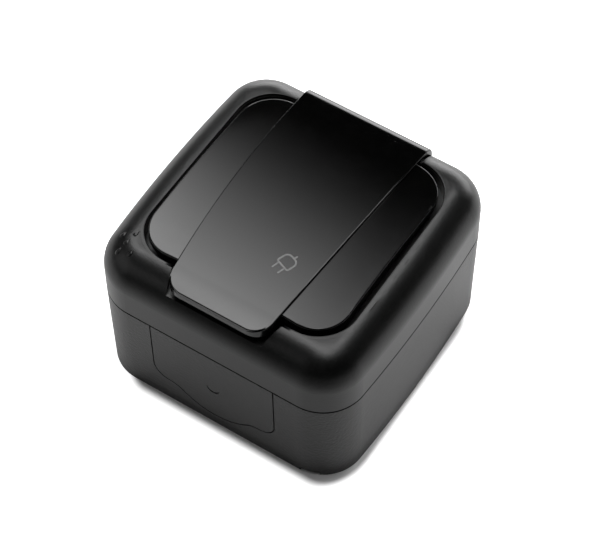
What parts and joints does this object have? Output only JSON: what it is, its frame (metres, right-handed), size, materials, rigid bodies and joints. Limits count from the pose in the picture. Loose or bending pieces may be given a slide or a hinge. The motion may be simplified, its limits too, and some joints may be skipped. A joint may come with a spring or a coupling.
{
  "type": "weatherproof socket outlet",
  "caption": "Square surface-mounted weatherproof socket outlet with a rounded cover and a spring-closed hinged lid over a round plug recess.",
  "frame": {"origin": "centre of the back face that lies on the wall", "axes": "+Z out of the wall, +Y towards the hinge, +X to the right seen from the finger lip"},
  "size_m": [0.0764, 0.076, 0.0519],
  "materials": {
    "housing_plastic": "fine matt grain",
    "cover_plastic": "fine satin grain",
    "lid_plastic": "smooth satin",
    "socket_plastic": "smooth satin",
    "block_plastic": "moulded",
    "seal_rubber": "moulded",
    "pin_steel": "drawn",
    "spring_steel": "drawn",
    "plated_steel": "zinc plated",
    "brass": "stamped"
  },
  "bodies": {
    "base": {"mounting_box": "housing_plastic", "cable_entry_plate": "housing_plastic", "cover": "cover_plastic", "socket_face": "socket_plastic", "pin_plate": "socket_plastic", "terminal_block": "block_plastic", "box_seal": "seal_rubber", "face_seal": "seal_rubber", "hinge_pin": "pin_steel", "lid_spring": "spring_steel", "support_plate": "plated_steel", "plate_screws": "plated_steel", "cover_screws": "plated_steel", "face_screw": "plated_steel", "earth_bracket": "plated_steel", "terminal_clamps": "plated_steel", "terminal_screws": "plated_steel", "threaded_insert": "brass", "left_contact": "brass", "right_contact": "brass", "earth_rivet": "brass"},
    "lid": {"lid": "lid_plastic", "lid_seal": "seal_rubber"}
  },
  "joints": [
    {"name": "lid_hinge", "type": "hinge", "parent": "base", "child": "lid", "pos_m": [0, 0.0326, 0.04458], "axis": [-1, 0, 0], "range_deg": [0, 110], "stiffness_Nm_per_rad": 0.02, "springref_deg": -20.05}
  ]
}
